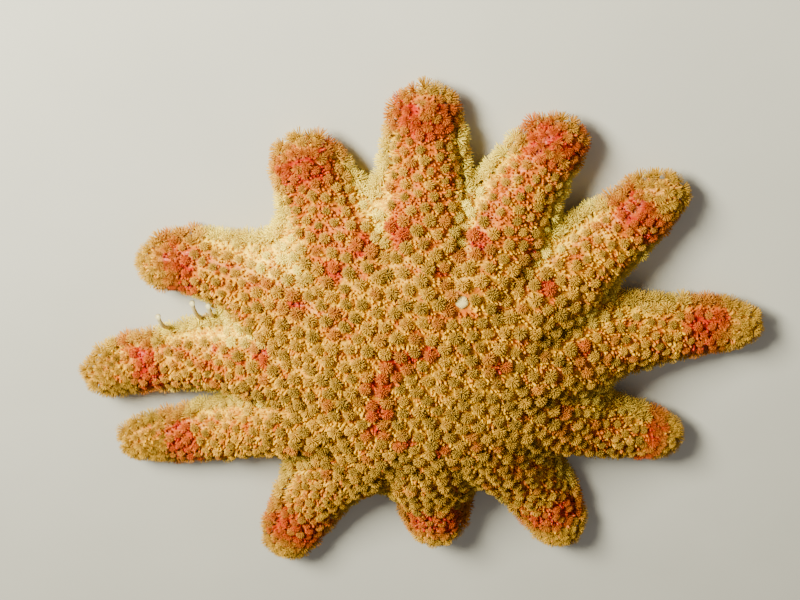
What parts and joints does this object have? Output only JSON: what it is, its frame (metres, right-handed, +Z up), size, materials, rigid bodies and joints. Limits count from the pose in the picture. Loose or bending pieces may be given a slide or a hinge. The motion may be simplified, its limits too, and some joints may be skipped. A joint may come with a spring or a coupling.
{
  "type": "common sunstar",
  "caption": "Life-size many-armed sea star lying flat, with a domed disc, blunt arms and brush-like tufts of spinelets all over.",
  "frame": {"origin": "on the floor plane, under the middle of the animal's bounding box", "axes": "+Z up from the floor, the shortest extent; +X along the widest span of the arms; +Y towards the picture's upper edge"},
  "size_m": [0.2326, 0.2056, 0.0391],
  "materials": {
    "disc_skin": "soft, faintly moist orange skin with pale tufts",
    "arm_skin": "soft, faintly moist orange skin, banded red near the tips",
    "sieve_plate": "chalky, finely grooved",
    "mouth_skin": "soft pale skin"
  },
  "bodies": {
    "root": {"disc": "disc_skin", "mouth": "mouth_skin", "madreporite": "sieve_plate", "arm_01": "arm_skin", "arm_02": "arm_skin", "arm_03": "arm_skin", "arm_04": "arm_skin", "arm_05": "arm_skin", "arm_06": "arm_skin", "arm_07": "arm_skin", "arm_08": "arm_skin", "arm_09": "arm_skin", "arm_10": "arm_skin", "arm_11": "arm_skin", "arm_12": "arm_skin"}
  },
  "joints": []
}
